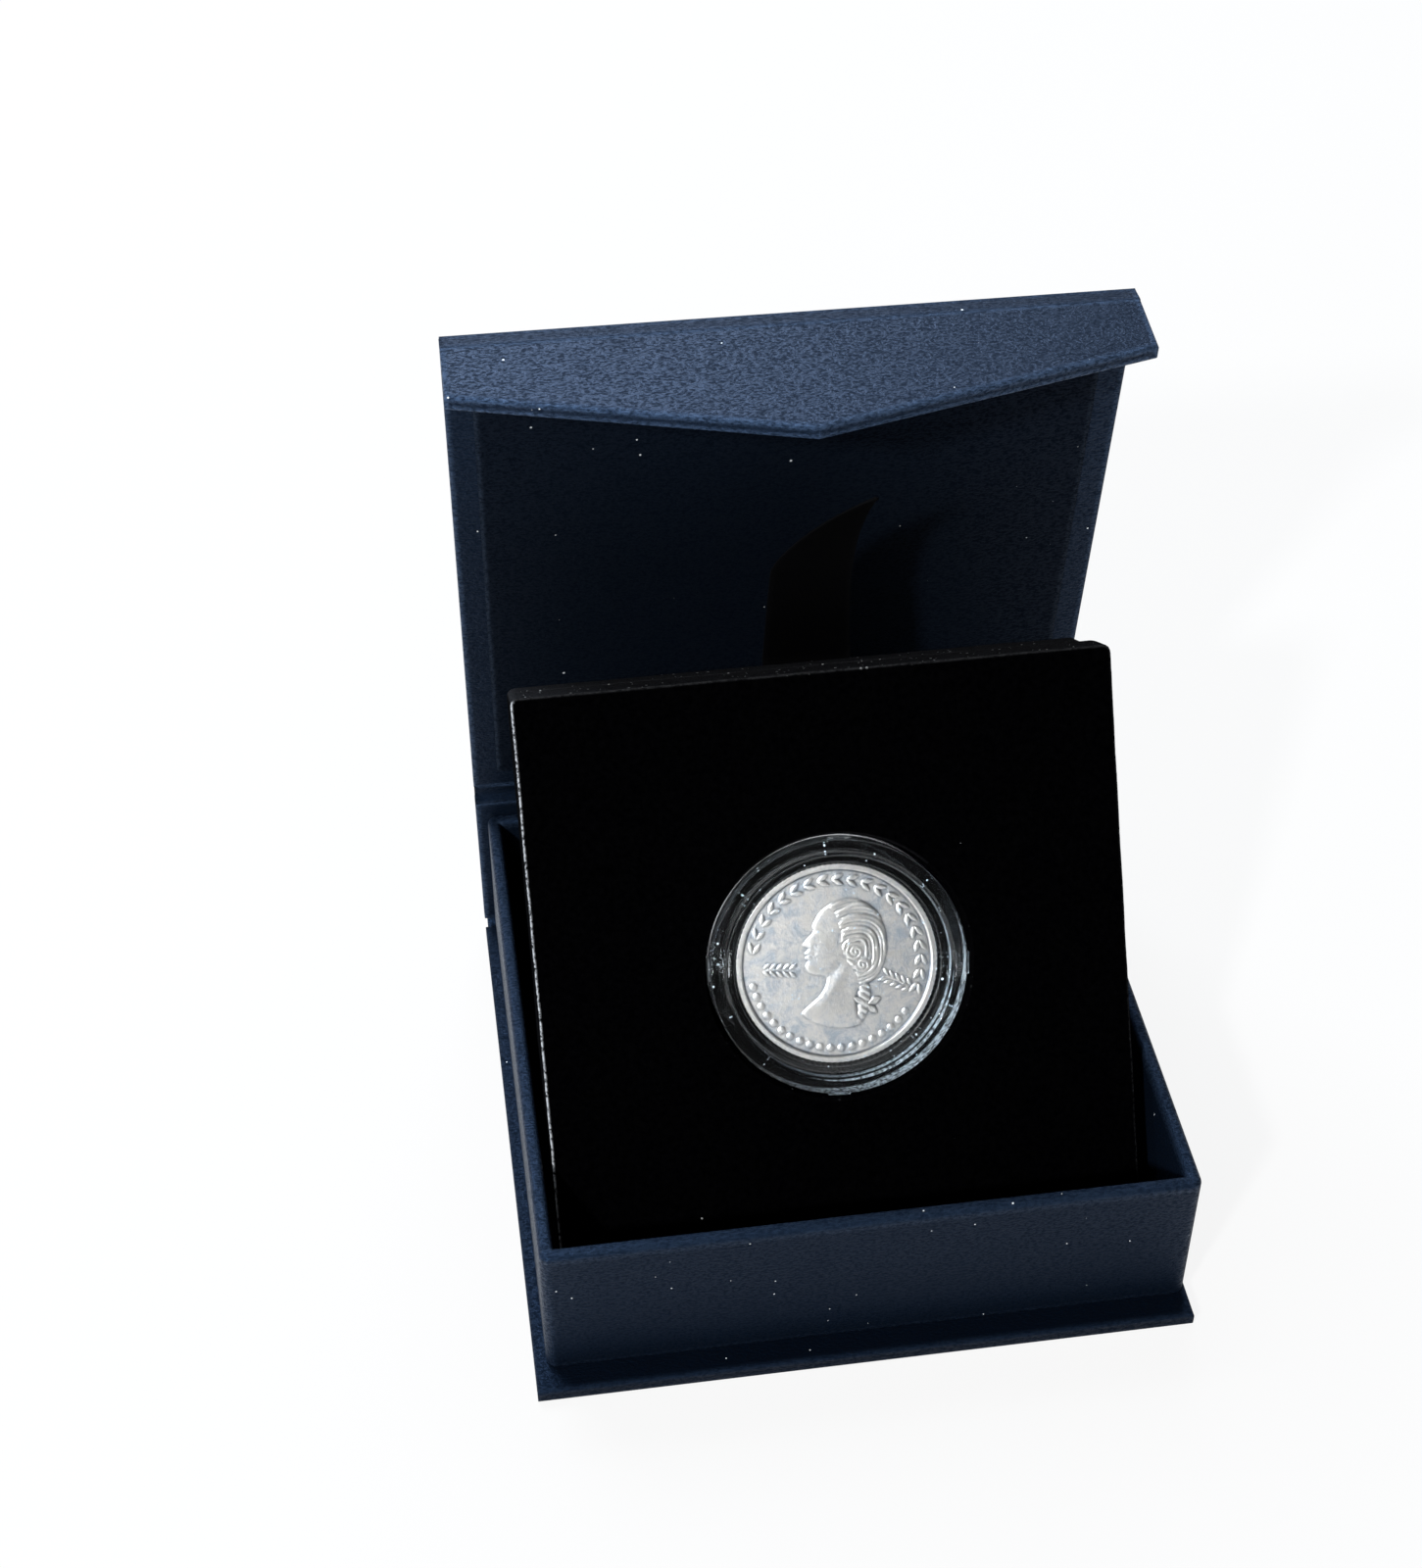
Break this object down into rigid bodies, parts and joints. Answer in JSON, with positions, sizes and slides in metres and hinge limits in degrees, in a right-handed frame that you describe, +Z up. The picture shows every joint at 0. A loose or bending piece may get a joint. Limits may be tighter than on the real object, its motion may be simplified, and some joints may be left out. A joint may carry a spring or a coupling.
{
  "type": "coin display box",
  "caption": "Book-style rigid gift box standing open, with a pointed magnetic flap, a leaning foam insert, a pull ribbon and a coin in a clear round capsule.",
  "frame": {"origin": "middle of the bottom panel's underside, on the surface the box stands on", "axes": "+X to the box's right as seen from its open front, +Y to the spine at the back, +Z up"},
  "size_m": [0.0785, 0.0805, 0.1022],
  "materials": {
    "cover_paper": "embossed, satin",
    "liner_paper": "embossed, matt",
    "greyboard": "raw board",
    "foam": "matt black foam with a fuzzy skin",
    "ribbon": "satin weave",
    "clear_plastic": "clear, polished",
    "coin_metal": "struck, lightly worn",
    "magnet": "plated"
  },
  "bodies": {
    "case": {"base_board": "greyboard", "base_cover": "cover_paper", "base_fold": "cover_paper", "spine_board": "greyboard", "spine_cover": "cover_paper", "tray_front_board": "greyboard", "tray_back_board": "greyboard", "tray_left_board": "greyboard", "tray_right_board": "greyboard", "tray_cover": "cover_paper", "tray_floor_liner": "liner_paper", "tray_magnet_left": "magnet", "tray_magnet_right": "magnet"},
    "lid": {"lid_fold": "cover_paper", "lid_board": "greyboard", "lid_cover": "cover_paper", "lid_liner": "liner_paper"},
    "flap": {"flap_fold": "cover_paper", "flap_board": "greyboard", "flap_cover": "cover_paper", "flap_liner": "liner_paper", "flap_magnet_left": "magnet", "flap_magnet_right": "magnet"},
    "insert_foot": {"ribbon_tail": "ribbon"},
    "insert": {"insert_front_foam": "foam", "insert_back_foam": "foam", "ribbon_run": "ribbon"},
    "ribbon_free_end": {"ribbon_end": "ribbon"},
    "capsule": {"capsule_base": "clear_plastic"},
    "capsule_top": {"capsule_cover": "clear_plastic"},
    "coin": {"coin": "coin_metal"}
  },
  "joints": [
    {"name": "lid_hinge", "type": "hinge", "parent": "case", "child": "lid", "pos_m": [0, 0.0413, 0.0245], "axis": [1, 0, 0], "range_deg": [-115, 12]},
    {"name": "flap_hinge", "type": "hinge", "parent": "lid", "child": "flap", "pos_m": [0, 0.029, 0.10218], "axis": [0.9999, -0.0121, -0.0019], "range_deg": [-86, 10]},
    {"name": "insert_slide", "type": "slide", "parent": "case", "child": "insert_foot", "axis": [0, 1, 0], "range_m": [-0.0145, 0.0013]},
    {"name": "insert_tilt", "type": "hinge", "parent": "insert_foot", "child": "insert", "pos_m": [0, -0.0188, 0.0026], "axis": [1, 0, 0], "range_deg": [-57.5, 5]},
    {"name": "ribbon_bend", "type": "hinge", "parent": "insert", "child": "ribbon_free_end", "pos_m": [0, 0.01817, 0.06062], "axis": [1, 0, 0], "range_deg": [-5, 57.5]},
    {"name": "capsule_lift", "type": "slide", "parent": "insert", "child": "capsule", "axis": [0, -0.8434, 0.5373], "range_m": [0, 0.015]},
    {"name": "cover_lift", "type": "slide", "parent": "capsule", "child": "capsule_top", "axis": [0, -0.8434, 0.5373], "range_m": [0, 0.02]},
    {"name": "coin_lift", "type": "slide", "parent": "capsule", "child": "coin", "axis": [0, -0.8434, 0.5373], "range_m": [0, 0.01]}
  ],
  "couplings": [
    {"joint": "insert_slide", "follows": "insert_tilt", "m_per_rad": 0.014349},
    {"joint": "ribbon_bend", "follows": "insert_tilt", "ratio": -1},
    {"joint": "coin_lift", "follows": "cover_lift", "ratio": 0.5}
  ]
}
